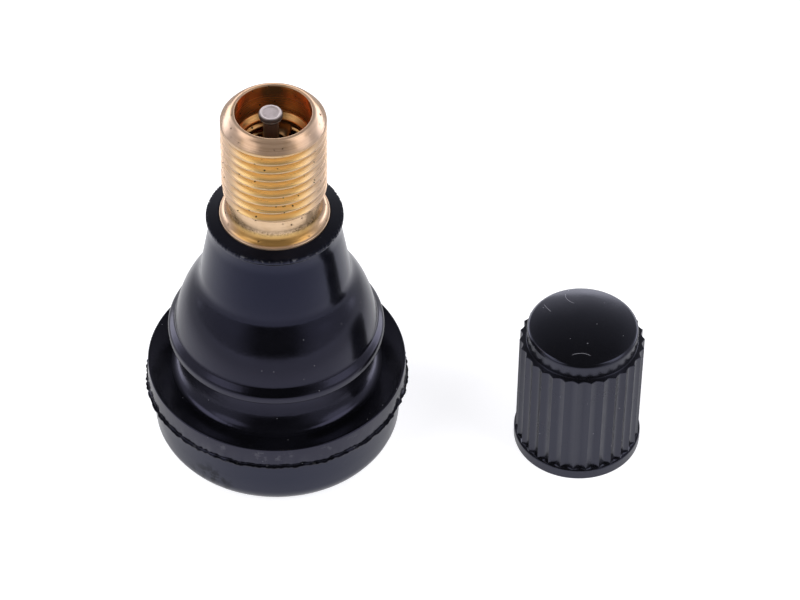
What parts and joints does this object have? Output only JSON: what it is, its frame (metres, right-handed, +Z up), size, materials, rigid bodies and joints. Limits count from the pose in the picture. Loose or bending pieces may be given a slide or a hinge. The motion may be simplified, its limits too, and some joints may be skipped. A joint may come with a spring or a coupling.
{
  "type": "tyre valve",
  "caption": "Snap-in tubeless tyre valve: moulded rubber body with a rim groove, bonded brass stem with a spring-loaded valve core, and a ribbed plastic dust cap set down beside it.",
  "frame": {"origin": "on the valve's axis, at the mouth of the air hole in the face that the base stands on", "axes": "+Z up along the stem, towards its mouth; +X from the valve towards the cap that stands beside it"},
  "size_m": [0.038, 0.02, 0.033],
  "materials": {
    "body_rubber": "moulded, slightly glossy",
    "stem_brass": "turned, bright with small pits",
    "core_brass": "turned",
    "gasket": "smooth",
    "core_steel": "drawn wire, upset head",
    "seal_rubber": "moulded",
    "cap_plastic": "moulded, satin"
  },
  "bodies": {
    "valve": {"rubber_body": "body_rubber", "brass_stem": "stem_brass", "dust_cap": "cap_plastic"},
    "barrel": {"core_barrel": "core_brass", "barrel_gasket": "gasket", "core_spring": "core_steel"},
    "plug": {"core_plug": "core_brass"},
    "pin": {"core_pin": "core_steel", "plunger_cup": "core_brass", "plunger_seal": "seal_rubber"}
  },
  "joints": [
    {"name": "core_lift", "type": "slide", "parent": "valve", "child": "barrel", "axis": [0, 0, 1], "range_m": [0, 0.0065]},
    {"name": "plug_turn", "type": "hinge", "parent": "barrel", "child": "plug", "pos_m": [0, 0, 0.0237], "axis": [0, 0, 1], "range_deg": [0, 3316]},
    {"name": "pin_press", "type": "slide", "parent": "barrel", "child": "pin", "axis": [0, 0, -1], "range_m": [0, 0.0015], "stiffness_N_per_m": 500, "springref_m": -0.001, "deforming": ["core_spring"]}
  ],
  "couplings": [
    {"joint": "plug_turn", "follows": "core_lift", "rad_per_m": 8905.2}
  ]
}
